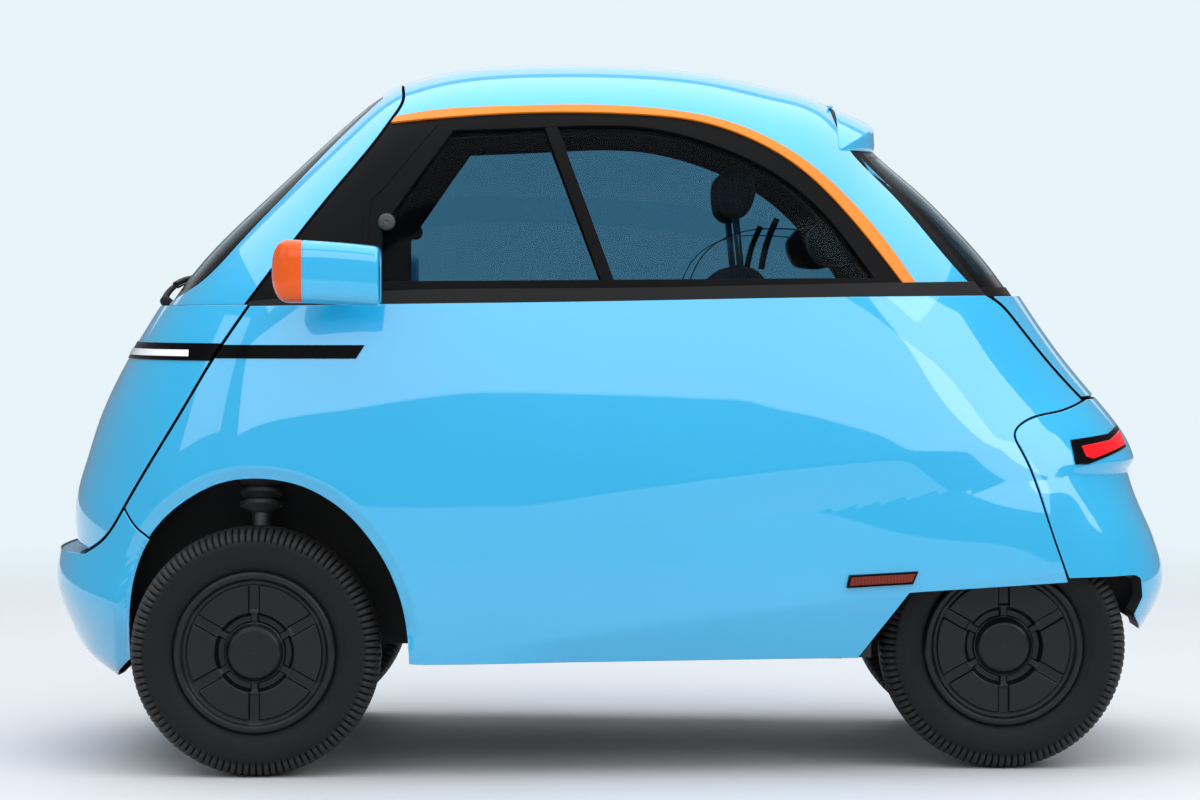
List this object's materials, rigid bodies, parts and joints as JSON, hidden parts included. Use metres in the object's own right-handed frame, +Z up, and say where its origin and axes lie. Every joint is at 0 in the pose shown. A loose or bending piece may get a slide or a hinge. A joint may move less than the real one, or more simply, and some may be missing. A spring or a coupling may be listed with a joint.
{
  "type": "two-seat electric microcar with front door",
  "caption": "Rounded two-seat microcar with one front door, a rear tailgate, turning wheels, steering and a glazed cabin",
  "frame": {"origin": "on the ground under the middle of the bounding box", "axes": "+X forward, +Y to the car's left, +Z up"},
  "size_m": [2.4849, 1.81, 1.5417],
  "materials": {
    "blue_paint": "glossy light blue paint",
    "orange_paint": "glossy orange paint",
    "clear_glass": "tinted clear glass",
    "gloss_black": "glossy black plastic",
    "black_trim": "grained black plastic",
    "red_lens": "clear dark red lens",
    "tyre": "black rubber",
    "wheel_black": "satin black paint",
    "cast_metal": "bare cast iron",
    "dark_steel": "black coated steel",
    "aluminium": "cast aluminium",
    "seat_cloth": "dark grey woven cloth"
  },
  "bodies": {
    "chassis": {"front_bumper": "blue_paint", "side_panel_left": "blue_paint", "side_panel_right": "blue_paint", "side_inserts": "gloss_black", "belt_trims": "black_trim", "side_windows": "clear_glass", "roof_panel": "blue_paint", "roof_strips": "orange_paint", "rear_bumper": "blue_paint", "mirror_pods": "blue_paint", "front_subframe": "dark_steel", "steering_rack": "aluminium", "floor_pan": "dark_steel", "wheel_liners": "black_trim", "rear_axle": "dark_steel", "rear_dampers": "dark_steel", "drive_motor": "aluminium", "battery_box": "aluminium", "seat_cushion": "seat_cloth", "seat_back": "seat_cloth", "headrests": "seat_cloth", "dashboard": "black_trim", "steering_column": "black_trim", "belt_reels": "black_trim", "window_frames": "black_trim", "rear_lamps": "red_lens"},
    "door": {"front_door": "blue_paint", "windshield": "clear_glass", "light_bar": "gloss_black", "wiper": "black_trim", "hinge_arms": "dark_steel"},
    "gate": {"tailgate": "blue_paint", "rear_window": "clear_glass"},
    "upright_left": {"knuckle_left": "cast_metal"},
    "upright_right": {"knuckle_right": "cast_metal"},
    "rods": {"tie_rods": "dark_steel"},
    "hand_wheel": {"steering_wheel": "black_trim"},
    "roll_front_left": {"tyre_front_left": "tyre", "wheel_front_left": "wheel_black"},
    "roll_front_right": {"tyre_front_right": "tyre", "wheel_front_right": "wheel_black"},
    "roll_rear_left": {"tyre_rear_left": "tyre", "wheel_rear_left": "wheel_black"},
    "roll_rear_right": {"tyre_rear_right": "tyre", "wheel_rear_right": "wheel_black"}
  },
  "joints": [
    {"name": "door_swing", "type": "hinge", "parent": "chassis", "child": "door", "pos_m": [0.748, 0.655, 0.796], "axis": [0, 0, 1], "range_deg": [0, 70]},
    {"name": "gate_lift", "type": "hinge", "parent": "chassis", "child": "gate", "pos_m": [-0.508, 0, 1.456], "axis": [0, 1, 0], "range_deg": [0, 65]},
    {"name": "steer_left", "type": "hinge", "parent": "chassis", "child": "upright_left", "pos_m": [0.737, 0.47, 0.7], "axis": [0, -0.2341, 0.9722], "range_deg": [-27, 27]},
    {"name": "steer_right", "type": "hinge", "parent": "chassis", "child": "upright_right", "pos_m": [0.737, -0.47, 0.7], "axis": [0, 0.2341, 0.9722], "range_deg": [-27, 27]},
    {"name": "rod_slide", "type": "slide", "parent": "chassis", "child": "rods", "axis": [0, 1, 0], "range_m": [-0.047, 0.047]},
    {"name": "hand_wheel_turn", "type": "hinge", "parent": "chassis", "child": "hand_wheel", "pos_m": [0.43, 0.29, 0.88], "axis": [-0.9063, 0, 0.4226], "range_deg": [-460, 460]},
    {"name": "roll_front_left", "type": "hinge", "parent": "upright_left", "child": "roll_front_left", "pos_m": [0.737, 0.6175, 0.2665], "axis": [0, 1, 0], "continuous": true},
    {"name": "roll_front_right", "type": "hinge", "parent": "upright_right", "child": "roll_front_right", "pos_m": [0.737, -0.6175, 0.2665], "axis": [0, 1, 0], "continuous": true},
    {"name": "roll_rear_left", "type": "hinge", "parent": "chassis", "child": "roll_rear_left", "pos_m": [-0.867, 0.4575, 0.2665], "axis": [0, 1, 0], "continuous": true},
    {"name": "roll_rear_right", "type": "hinge", "parent": "chassis", "child": "roll_rear_right", "pos_m": [-0.867, -0.4575, 0.2665], "axis": [0, 1, 0], "continuous": true}
  ],
  "couplings": [
    {"joint": "steer_right", "follows": "steer_left", "ratio": 1},
    {"joint": "rod_slide", "follows": "steer_left", "m_per_rad": -0.095},
    {"joint": "hand_wheel_turn", "follows": "steer_left", "ratio": 16}
  ]
}
